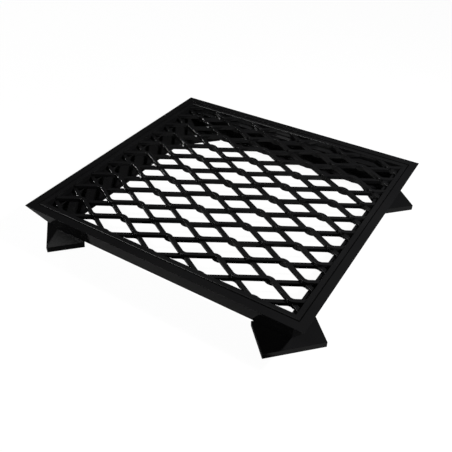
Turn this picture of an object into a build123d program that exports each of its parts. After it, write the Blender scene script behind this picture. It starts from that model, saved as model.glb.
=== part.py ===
"""Fire pit with a lift-off grate: a low, open-bottomed steel box on four corner plates.

Millimetres. +Z is up, X runs along the long sides, and the origin is on the ground under
the middle of the pit. "Inset" is a distance inwards from the rim's outer edge, and "drop" is
a distance down from the rim's top face.
"""
import os
from math import atan, cos, sin, tan

from build123d import *

# Pit body
rim_length = 600.0  # outside, along X
rim_width = 555.0  # outside, along Y
rim_flange = 16.0  # width of the flat top of a rim rail
sheet = 3.0  # thickness of the rim, the walls and the ledges
wall_drop = 68.0  # from the rim's top down to the foot plates
wall_inset = 34.5  # how far the foot of a wall lies inside its head
wall_return = 8.0  # width of the strip folded inwards at the foot of a wall

# Foot plates, set across the corners
foot_length = 110.0  # across the corner
foot_width = 72.0  # along the corner's diagonal
foot_thickness = 12.0
foot_inset = 45.0  # from each rim edge to the middle of the plate
foot_angle = 45.0

# Grate frame and the ledge that carries it
grate_gap = 2.0  # clearance between the rim and the grate, all round
bar_width = 10.0
bar_height = 14.0
ledge_reach = 12.0  # how far the ledge shows inside the frame's opening

# Raised expanded metal inside the grate frame
mesh_long_pitch = 105.8  # along X
mesh_short_pitch = 51.1  # along Y
mesh_offset_x = 39.2  # where one bond lies, from the middle of the grate
mesh_offset_y = -19.4
mesh_drop = 2.5  # from the frame's top to the upper strands' top
strand_width = 7.8
strand_height = 8.2
strand_step = 5.8  # how much lower every other strand lies
bond_length = 8.0  # flat run of a strand where two strands join
strand_bend_radius = 12.0

# Worked out from the sizes above
rim_top = foot_thickness + wall_drop
wall_angle = atan(wall_inset / wall_drop)
wall_run = sheet / cos(wall_angle)  # thickness of a sloping wall, measured level
grate_inset = rim_flange + grate_gap
opening_inset = grate_inset + bar_width
opening_length = rim_length - 2 * opening_inset
opening_width = rim_width - 2 * opening_inset
link_angle = atan(mesh_short_pitch / 2 / (mesh_long_pitch / 2 - bond_length))
bond_reach = bond_length / 2 + strand_width / sin(link_angle) / 2  # to where the strands part

SIDES = {"front": 0, "right": 90, "back": 180, "left": 270}  # turn of each side about Z


def outer_inset(drop):
    """Inset of a wall's outer face at a drop."""
    return drop * tan(wall_angle)


def inner_inset(drop):
    """Inset of a wall's inner face at a drop."""
    return outer_inset(drop) + wall_run


def side_bar(section, turn):
    """Run a section of (inset, drop) points along one side, mitred at both corners."""
    run, across = (rim_length, rim_width) if turn % 180 == 0 else (rim_width, rim_length)
    edge = -across / 2
    outline = [(edge + inset, rim_top - drop) for inset, drop in section]
    bar = extrude(Plane.YZ * Polygon(*outline, align=None), amount=run / 2, both=True)
    reach = across / 4
    mitre = Polygon(
        (-run / 2, edge),
        (run / 2, edge),
        (run / 2 - reach, edge + reach),
        (-run / 2 + reach, edge + reach),
        align=None,
    )
    return Rot(0, 0, turn) * (bar & extrude(mitre, amount=rim_top))


def rim_rail(turn):
    """Flat flange whose outer edge follows the slope of the wall."""
    return side_bar(
        [(0, 0), (rim_flange, 0), (rim_flange, sheet), (outer_inset(sheet), sheet)],
        turn,
    )


def wall_panel(turn):
    """Sheet that leans inwards from the rim down to the foot plates, where it is folded in."""
    fold = inner_inset(wall_drop) + wall_return
    return side_bar(
        [
            (outer_inset(sheet), sheet),
            (inner_inset(sheet), sheet),
            (inner_inset(wall_drop - sheet), wall_drop - sheet),
            (fold, wall_drop - sheet),
            (fold, wall_drop),
            (outer_inset(wall_drop), wall_drop),
        ],
        turn,
    )


def ledge_rail(turn):
    """Flat bar on the inside of a wall, that the grate frame and the ends of the strands sit on."""
    top, bottom = bar_height, bar_height + sheet
    lip = opening_inset + ledge_reach
    return side_bar(
        [(inner_inset(top), top), (lip, top), (lip, bottom), (inner_inset(bottom), bottom)],
        turn,
    )


def grate_bar(turn):
    """Flat bar of the grate frame, level with the rim."""
    return side_bar(
        [(grate_inset, 0), (opening_inset, 0), (opening_inset, bar_height), (grate_inset, bar_height)],
        turn,
    )


def foot_plate(side_x, side_y):
    """Plate across one corner: side_x and side_y are +1 or -1."""
    x = side_x * (rim_length / 2 - foot_inset)
    y = side_y * (rim_width / 2 - foot_inset)
    turn = -side_x * side_y * foot_angle
    plate = Box(foot_length, foot_width, foot_thickness, align=(Align.CENTER, Align.CENTER, Align.MIN))
    return Pos(x, y, 0) * Rot(0, 0, turn) * plate


def bond(row, upper, step):
    """Middle of one of a strand's bonds: even steps are valleys, and odd steps are peaks."""
    rise = mesh_short_pitch / 2 if upper else -mesh_short_pitch / 2
    x = mesh_offset_x + step * mesh_long_pitch / 2
    y = mesh_offset_y + row * mesh_short_pitch + (rise if step % 2 else 0)
    return x, y


def strand(row, upper):
    """One zigzag strand, along X. Upper strands peak where lower strands have their valleys.

    It runs one bond past the last ones that hold it, at each end. A strand that no bond
    in the opening holds is no part of the sheet.
    """
    reach = int(rim_length / mesh_long_pitch) + 2
    bonds = [bond(row, upper, step) for step in range(-reach, reach + 1)]
    held = [
        place
        for place, (x, y) in enumerate(bonds)
        if abs(x) < opening_length / 2 + bond_reach and abs(y) < opening_width / 2
    ]
    if not held:
        return None
    points = []
    for x, y in bonds[held[0] - 1 : held[-1] + 2]:
        points += [(x - bond_length / 2, y), (x + bond_length / 2, y)]
    centre_line = FilletPolyline(*points, radius=strand_bend_radius)
    ribbon = trace(centre_line, line_width=strand_width)
    top = rim_top - mesh_drop - (0 if upper else strand_step)
    return Pos(0, 0, top - strand_height) * extrude(ribbon, amount=strand_height)


def mesh_space():
    """Room for the mesh: the frame's opening down to the ledge, and inside the ledge below that."""
    upper = Box(opening_length, opening_width, bar_height)
    inside = 2 * (ledge_reach + grate_gap)
    lower = Box(opening_length - inside, opening_width - inside, rim_top)
    return Pos(0, 0, rim_top - bar_height / 2) * upper + Pos(0, 0, rim_top / 2) * lower


def expanded_mesh():
    """All the strands, fused at their bonds and cut to the space that the pit leaves them."""
    space = mesh_space()
    rows = int(opening_width / mesh_short_pitch / 2) + 2
    strands = [strand(row, upper) for row in range(-rows, rows + 1) for upper in (True, False)]
    strands = [piece & space for piece in strands if piece]
    return strands[0].fuse(*strands[1:])


def write(name, shape):
    """Save one node and print what it holds."""
    export_step(shape, f"parts/{name}.step")
    print(f"{name}: {len(shape.solids())} solid, {shape.volume / 1000:.1f} cm3")


os.makedirs("parts", exist_ok=True)
for side, side_turn in SIDES.items():
    write(f"rim_rail_{side}", rim_rail(side_turn))
    write(f"wall_panel_{side}", wall_panel(side_turn))
    write(f"ledge_rail_{side}", ledge_rail(side_turn))
    write(f"grate_bar_{side}", grate_bar(side_turn))
for name_x, side_x in (("left", -1), ("right", 1)):
    for name_y, side_y in (("front", -1), ("back", 1)):
        write(f"foot_plate_{name_y}_{name_x}", foot_plate(side_x, side_y))
write("expanded_mesh", expanded_mesh())
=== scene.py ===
# %% [markdown]
# # Fire pit with a lift-off grate
#
# The solids of this pit are already made and lie in a fixed frame. This lesson gives them
# their looks: rolled edges instead of razor-sharp ones, gloss black heat paint with the small
# unevenness of a sprayed coat, and a white studio. Everything is in metres, with +Z up and
# the origin on the ground under the pit.

# %% Load the frame and keep its box
import bmesh
import bpy
from math import cos, degrees, pi, radians, sin
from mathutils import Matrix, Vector
from mathutils.geometry import intersect_point_line


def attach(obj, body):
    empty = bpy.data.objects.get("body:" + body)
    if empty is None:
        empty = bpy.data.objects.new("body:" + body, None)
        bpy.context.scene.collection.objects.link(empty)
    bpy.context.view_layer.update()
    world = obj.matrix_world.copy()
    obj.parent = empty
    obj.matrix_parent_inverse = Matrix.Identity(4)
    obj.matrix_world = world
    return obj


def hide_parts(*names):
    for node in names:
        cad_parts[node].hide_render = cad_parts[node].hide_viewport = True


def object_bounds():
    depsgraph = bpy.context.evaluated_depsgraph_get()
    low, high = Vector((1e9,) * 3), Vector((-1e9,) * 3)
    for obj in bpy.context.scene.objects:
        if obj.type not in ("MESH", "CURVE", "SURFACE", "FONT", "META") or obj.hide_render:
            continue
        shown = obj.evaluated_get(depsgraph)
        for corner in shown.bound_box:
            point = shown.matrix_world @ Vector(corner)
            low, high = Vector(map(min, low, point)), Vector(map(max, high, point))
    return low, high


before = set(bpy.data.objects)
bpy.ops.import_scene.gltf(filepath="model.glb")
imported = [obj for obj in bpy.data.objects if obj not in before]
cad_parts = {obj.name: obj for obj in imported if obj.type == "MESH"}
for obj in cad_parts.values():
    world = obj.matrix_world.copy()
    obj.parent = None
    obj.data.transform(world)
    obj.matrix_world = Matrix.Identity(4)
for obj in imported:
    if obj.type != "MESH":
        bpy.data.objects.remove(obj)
cad_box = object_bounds()
SIDES = ("front", "right", "back", "left")
print("nodes:", len(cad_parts), "box:", [round(v, 4) for corner in cad_box for v in corner])

# %% [markdown]
# ## Gloss black heat paint
#
# The steel is sprayed with a black high-heat enamel. Up close such a coat isn't a flat colour:
# it has orange peel, a shallow ripple a few millimetres across that the gun leaves, slow
# patches where it went on drier and duller, and places where the gloss is uneven. A texture
# could hold all this, but noise in Object coordinates stays at its real scale on every piece,
# and can't show a seam. One recipe makes both finishes, with different numbers.

# %% Noise at a real scale
def add_noise(tree, per_metre, detail, roughness=0.5):
    """Noise in Object coordinates, with so many features to the metre."""
    place = tree.nodes.new("ShaderNodeTexCoord")
    noise = tree.nodes.new("ShaderNodeTexNoise")
    noise.inputs["Scale"].default_value = per_metre
    noise.inputs["Detail"].default_value = detail
    noise.inputs["Roughness"].default_value = roughness
    tree.links.new(place.outputs["Object"], noise.inputs["Vector"])
    return noise.outputs["Fac"]


def spread(tree, value, low, high):
    """Stretch the middle of a noise, where most of it lies, to the range from low to high."""
    ramp = tree.nodes.new("ShaderNodeMapRange")
    for name, number in (("From Min", 0.3), ("From Max", 0.7), ("To Min", low), ("To Max", high)):
        ramp.inputs[name].default_value = number
    tree.links.new(value, ramp.inputs["Value"])
    return ramp.outputs["Result"]


PATCHES = 9  # dry patches to the metre
DULL_SPOTS = 22  # uneven gloss, to the metre
PEEL_DEPTH = 0.00002
print(f"patches {1000 / PATCHES:.0f} mm, dull spots {1000 / DULL_SPOTS:.0f} mm across")

# %% Mix the two finishes
def sprayed_paint(name, deep, dusty, gloss, dull, peel):
    """Black enamel: two close colours in slow patches, uneven gloss and orange peel."""
    paint = bpy.data.materials.new(name)
    paint.use_nodes = True
    tree = paint.node_tree
    shader = tree.nodes["Principled BSDF"]
    shader.inputs["IOR"].default_value = 1.5
    colour = tree.nodes.new("ShaderNodeMix")
    colour.data_type = "RGBA"
    colour.inputs["A"].default_value = (*deep, 1)
    colour.inputs["B"].default_value = (*dusty, 1)
    patches = spread(tree, add_noise(tree, PATCHES, 4), 0, 1)
    tree.links.new(patches, colour.inputs["Factor"])
    tree.links.new(colour.outputs["Result"], shader.inputs["Base Color"])
    unevenness = spread(tree, add_noise(tree, DULL_SPOTS, 5, 0.6), gloss, dull)
    tree.links.new(unevenness, shader.inputs["Roughness"])
    ripple = tree.nodes.new("ShaderNodeBump")
    ripple.inputs["Strength"].default_value = 1.0
    ripple.inputs["Distance"].default_value = PEEL_DEPTH
    tree.links.new(add_noise(tree, peel, 2), ripple.inputs["Height"])
    tree.links.new(ripple.outputs["Normal"], shader.inputs["Normal"])
    print(f"{name}: roughness {gloss} to {dull}, orange peel {1000 / peel:.1f} mm across")
    return paint


DEEP_BLACK = (0.009, 0.009, 0.0095)
PAINTS = {
    "pit": sprayed_paint("enamel_on_sheet", DEEP_BLACK, (0.012, 0.012, 0.0125), 0.08, 0.15, 260),
    "grate": sprayed_paint("enamel_on_bar", DEEP_BLACK, (0.013, 0.013, 0.0135), 0.1, 0.2, 320),
}

# %% [markdown]
# ## Rounded copies of the solids
#
# A sheared or rolled bar never has a razor edge, and it is the rounded edge that catches the
# light. The solids' own meshes are left alone. Each piece starts as a merged copy of its
# solid, whose flat triangles are dissolved into whole faces, and then its edges are bevelled.
# Only the edges that run along a bar are rounded: its mitred ends stay sharp, so that two bars
# still meet without a notch.

# %% Copy a solid and round its edges
def merged_copy(node):
    """A bmesh of a solid with its loose triangles joined and its flat faces whole."""
    bm = bmesh.new()
    bm.from_mesh(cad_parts[node].data)
    bmesh.ops.remove_doubles(bm, verts=bm.verts, dist=1e-6)
    bmesh.ops.dissolve_limit(bm, angle_limit=radians(0.5), verts=bm.verts, edges=bm.edges)
    return bm


def round_edges(bm, edges, radius, segments=3, clamp=True):
    """Bevel these edges. Unclamped, the radius holds beside short edges too."""
    bmesh.ops.bevel(
        bm, geom=edges, offset=radius, offset_type="OFFSET", segments=segments,
        affect="EDGES", profile=0.5, material=-1, clamp_overlap=clamp,
    )


def along(edge, side):
    """True for an edge that runs along a side's length."""
    step = (edge.verts[0].co - edge.verts[1].co).normalized()
    return abs(step.x if side in ("front", "back") else step.y) > 0.999


trial = merged_copy("rim_rail_front")
print("a rim rail:", len(trial.faces), "faces,", sum(along(e, "front") for e in trial.edges), "long edges")
trial.free()

# %% [markdown]
# ## Shading and placing
#
# Each piece is shaded smooth, except across edges that turn by more than 40 degrees. On its
# own, that would make the big flats look pillowed. A Weighted Normal modifier lets the big
# faces rule, so the flats mirror straight lines and only the bevels bend the light.

# %% Place a finished piece
SHARP = radians(40)


def place_piece(bm, name, body, *nodes):
    """Make the piece, give it its body's paint and let it ride there in place of its solids."""
    mesh = bpy.data.meshes.new(name)
    bm.to_mesh(mesh)
    bm.free()
    mesh.shade_smooth()
    mesh.set_sharp_from_angle(angle=SHARP)
    mesh.materials.append(PAINTS[body])
    piece = bpy.data.objects.new(name, mesh)
    piece.modifiers.new("even_shading", "WEIGHTED_NORMAL").keep_sharp = True
    bpy.context.scene.collection.objects.link(piece)
    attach(piece, body)
    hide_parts(*nodes)
    return piece


print("smooth across edges that turn by less than", round(degrees(SHARP)), "degrees")

# %% [markdown]
# ## The pit: rim, walls and ledges
#
# The rim, walls and ledges are thin sheet cut on a guillotine, so their edges are rounded by
# only a fraction of a millimetre. The rim is rounded at its top alone, where it is seen. The
# walls are rounded at their foot, where they are folded in, and stay sharp at the top, where
# they are welded to the rim.

# %% Dress the sheet-metal sides
TOP = cad_box[1][2]
ROUNDED = {  # edge radius, and the lowest and highest edges that get it
    "rim_rail": (0.0002, TOP - 0.0001, TOP + 0.0001),
    "wall_panel": (0.0004, 0.0, 0.05),
    "ledge_rail": (0.0004, 0.0, TOP),
}
for part, (radius, lowest, highest) in ROUNDED.items():
    for side in SIDES:
        node = f"{part}_{side}"
        bm = merged_copy(node)
        edges = [e for e in bm.edges if along(e, side) and lowest <= e.verts[0].co.z <= highest]
        round_edges(bm, edges, radius)
        piece = place_piece(bm, f"{node}_painted", "pit", node)
    print(part, "edges rounded by", 1000 * radius, "mm,", len(piece.data.polygons), "faces a side")

# %% [markdown]
# ## Foot plates
#
# Each plate is sawn from thick flat bar and dressed with a file, so all its edges are broken a
# little more than those of the sheet.

# %% Dress the foot plates
PLATE_EDGE = 0.0006
for corner in ("front_left", "front_right", "back_left", "back_right"):
    node = f"foot_plate_{corner}"
    bm = merged_copy(node)
    round_edges(bm, bm.edges[:], PLATE_EDGE)
    piece = place_piece(bm, f"{node}_painted", "pit", node)
print("foot plates:", [round(1000 * v, 1) for v in piece.dimensions], "mm, as they lie")

# %% [markdown]
# ## The grate's frame
#
# Rolled flat bar has visibly round edges, here a fifth of its width. They carry the long thin
# highlight that runs along the front of the grate, so they get more segments than the rest.

# %% Dress the frame bars
BAR_EDGE = 0.002
for side in SIDES:
    node = f"grate_bar_{side}"
    bm = merged_copy(node)
    round_edges(bm, [e for e in bm.edges if along(e, side)], BAR_EDGE, segments=6)
    piece = place_piece(bm, f"{node}_painted", "grate", node)
print("frame bars:", len(piece.data.polygons), "faces each")

# %% [markdown]
# ## Expanded metal
#
# The sheet is slit and stretched into zigzag strands, and the stretching and the paint leave
# their edges soft. The solid's strands have sharp edges, so every level edge that faces
# outwards is rounded. There is one catch. Where one strand comes out from under another, its
# top begins as a thin wedge, with no room for a rounded edge, and a bevel there would fold
# over itself. So the rounding stops where the strand is still narrow, and a cut across its
# top gives the bevel a clean place to end.

# %% Find the strand edges, and where they run into another strand
STRAND_EDGE = 0.0009
ROOM = 0.0015  # the least width of strand beside a rounded edge
WEDGE = radians(25)  # below this angle, the meeting of two strands is a thin wedge
BEND = radians(50)  # an edge that turns by less belongs to a bend, not to a strand's corner


def meeting_angle(corner, roots, rims):
    """Least angle at a corner between a root and a rim of the same face."""
    inner = [e.other_vert(corner).co - corner.co for e in corner.link_edges if e in roots]
    outer = [e.other_vert(corner).co - corner.co for e in corner.link_edges if e in rims]
    return min((a.angle(b) for a in inner for b in outer), default=pi)


def is_near(vert, roots):
    """True if a vertex has a root beside it, closer than the room that a bevel needs."""
    for root in roots:
        foot, share = intersect_point_line(vert.co, root.verts[0].co, root.verts[1].co)
        if 0 <= share <= 1 and (vert.co - foot).length < ROOM:
            return True
    return False


bm = merged_copy("expanded_mesh")
to_round, ends = [], []
for face in [f for f in bm.faces if abs(f.normal.z) > 0.99]:
    turned = [e for e in face.edges if e.calc_face_angle(0) > BEND]
    roots = {e for e in turned if not e.is_convex}  # where another strand rises from this face
    rims = {e for e in turned if e.is_convex}
    corners = [v for v in face.verts if any(e in roots for e in v.link_edges)]
    others = [v for v in face.verts if v not in corners]
    narrow = {c for c in corners if meeting_angle(c, roots, rims) < WEDGE}
    narrow |= {v for v in others if is_near(v, roots)}
    to_round += [e for e in turned if e in rims and not narrow & set(e.verts)]
    for vert in [v for v in others if v not in narrow]:
        if any(e.other_vert(vert) in narrow for e in vert.link_edges if e in rims):
            ends.append((vert, min(corners, key=lambda c: (c.co - vert.co).length)))
print("strand edges to round:", len(to_round), "ending near another strand:", len(ends))

# %% Cut the faces across at those ends, and round the edges
for vert, corner in ends:
    shared = [f for f in vert.link_faces if corner in f.verts]
    if shared and not bm.edges.get((vert, corner)):
        bmesh.utils.face_split(shared[0], vert, corner)
round_edges(bm, to_round, STRAND_EDGE, clamp=False)
bmesh.ops.remove_doubles(bm, verts=bm.verts, dist=1e-5)
mesh_piece = place_piece(bm, "expanded_mesh_painted", "grate", "expanded_mesh")
print("expanded metal:", len(mesh_piece.data.polygons), "faces")

# %% [markdown]
# ## Studio floor and world
#
# The pit stands on a seamless white sweep. A floor that is white to every ray would throw a
# lot of light up at the black paint and turn its mirror-like walls grey. So the white is given
# to camera rays alone, and the floor is a dim matt grey under it, which takes the lamps' light
# and the pit's shadow. Reflections see that lit floor a little brighter than other rays do, and
# a faint glow from the world, which is what makes the walls look glossy.

# %% White that differs by ray
def white_by_ray(tree, to_camera, to_reflection):
    """A strength for what the camera sees, and one for what gloss and glass show."""
    path = tree.nodes.new("ShaderNodeLightPath")
    strengths = {
        "Is Camera Ray": to_camera,
        "Is Glossy Ray": to_reflection,
        "Is Transmission Ray": to_reflection,
    }
    total = None
    for ray, strength in strengths.items():
        step = tree.nodes.new("ShaderNodeMath")
        step.operation = "MULTIPLY_ADD"
        step.inputs[1].default_value = strength
        step.inputs[2].default_value = 0
        tree.links.new(path.outputs[ray], step.inputs[0])
        if total:
            tree.links.new(total, step.inputs[2])
        total = step.outputs[0]
    return total


FLOOR_WHITE, FLOOR_GLOW = 0.965, 0.0  # to the camera, and to gloss and glass
WORLD_WHITE, WORLD_GLOW = 0.99, 0.01
print("white to the camera: floor", FLOOR_WHITE, "world", WORLD_WHITE)

# %% White sweep
FLOOR_GREY, FLOOR_IN_GLOSS = 0.1, 0.26
sweep = bpy.data.materials.new("white_sweep")
sweep.use_nodes = True
tree = sweep.node_tree
matt = tree.nodes["Principled BSDF"]
matt.inputs["Roughness"].default_value = 1.0
matt.inputs["Specular IOR Level"].default_value = 0.0
matt.inputs["Emission Color"].default_value = (1, 1, 1, 1)
tree.links.new(white_by_ray(tree, FLOOR_WHITE, FLOOR_GLOW), matt.inputs["Emission Strength"])
path = tree.nodes.new("ShaderNodeLightPath")
grey = tree.nodes.new("ShaderNodeMix")
grey.data_type = "RGBA"
grey.inputs["A"].default_value = (FLOOR_GREY, FLOOR_GREY, FLOOR_GREY, 1)
grey.inputs["B"].default_value = (FLOOR_IN_GLOSS, FLOOR_IN_GLOSS, FLOOR_IN_GLOSS, 1)
tree.links.new(path.outputs["Is Glossy Ray"], grey.inputs["Factor"])
tree.links.new(grey.outputs["Result"], matt.inputs["Base Color"])
print("floor grey:", FLOOR_GREY, "and in reflections:", FLOOR_IN_GLOSS)

# %% Lay the floor and light the world
FLOOR_HALF = 8
bm = bmesh.new()
bmesh.ops.create_grid(bm, x_segments=2, y_segments=2, size=FLOOR_HALF)
floor_mesh = bpy.data.meshes.new("floor")
bm.to_mesh(floor_mesh)
bm.free()
floor_mesh.materials.append(sweep)
floor = bpy.data.objects.new("floor", floor_mesh)
bpy.context.scene.collection.objects.link(floor)

world = bpy.data.worlds.new("studio")
bpy.context.scene.world = world
world.use_nodes = True
sky = world.node_tree.nodes["Background"]
sky.inputs["Color"].default_value = (1, 1, 1, 1)
glow = white_by_ray(world.node_tree, WORLD_WHITE, WORLD_GLOW)
world.node_tree.links.new(glow, sky.inputs["Strength"])
print("floor:", 2 * FLOOR_HALF, "m square")

# %% [markdown]
# ## Lamps
#
# Black gloss shows little but what it mirrors, so each lamp stands where it draws one thing:
#
# - The key is small and close, over the right side. The flat tops get their tone from it,
#   and it fades from right to left. Gloss doesn't show it, or it would burn a spot.
# - The low strip, at the front left, is mirrored by way of the wall in the left foot plate.
# - The bar softbox, high at the front left, draws the long line on the front frame bar. It
#   also lights the floor that the front wall mirrors.
# - The glint lamp is small and far away at the left, and puts the glints on the strands.
# - The overhead softbox fills in faintly.

# %% One softbox
LAMP_AIM = Vector((0, 0, 0.05))


def softbox(name, place, width, height, watts, in_gloss=True):
    """An area lamp that looks at the middle of the pit."""
    lamp = bpy.data.lights.new(name, "AREA")
    lamp.shape = "RECTANGLE"
    lamp.size, lamp.size_y, lamp.energy = width, height, watts
    holder = bpy.data.objects.new(name, lamp)
    bpy.context.scene.collection.objects.link(holder)
    holder.location = place
    holder.rotation_euler = (Vector(place) - LAMP_AIM).to_track_quat("Z", "Y").to_euler()
    holder.visible_glossy = in_gloss
    print(f"{name}: {width} by {height} m, {watts} W")


print("lamps look at", tuple(round(v, 3) for v in LAMP_AIM))

# %% Set the lamps
softbox("key", (0.714, 0.13, 0.812), 0.1, 0.1, 8.5, in_gloss=False)
softbox("low_strip", (-0.95, -1.5, 0.13), 0.9, 0.24, 5)
softbox("bar_softbox", (-0.95, -1.1, 1.15), 0.9, 0.3, 5)
softbox("glint_lamp", (-3.57, 0.6, 2.16), 0.24, 0.24, 20)
softbox("overhead", (-0.6, 0.2, 1.95), 1.0, 1.0, 1)

# %% [markdown]
# ## Camera
#
# The camera stands a little over a metre away and looks down at the pit from its front right
# corner. It is near enough for the far side to look clearly smaller than the near one. Its
# lens is a little shorter than the usual 50 mm. The shift slides the view sideways by a hair
# without turning the camera.

# %% Set the camera
AZIMUTH, ELEVATION = radians(32.11), radians(38.77)
FOCAL_LENGTH = 44.16
SIDE_SHIFT = -0.01106  # a share of the view's width
back = Vector((sin(AZIMUTH) * cos(ELEVATION), -cos(AZIMUTH) * cos(ELEVATION), sin(ELEVATION)))
lens = bpy.data.cameras.new("camera")
lens.lens = FOCAL_LENGTH
lens.shift_x = SIDE_SHIFT
camera = bpy.data.objects.new("camera", lens)
camera.location = (0.49616, -0.79558, 0.72111)
camera.rotation_euler = back.to_track_quat("Z", "Y").to_euler()
bpy.context.scene.collection.objects.link(camera)
bpy.context.scene.camera = camera
bpy.context.scene.view_settings.view_transform = "Standard"
print("camera:", [round(degrees(a), 2) for a in (AZIMUTH, ELEVATION)], "degrees")
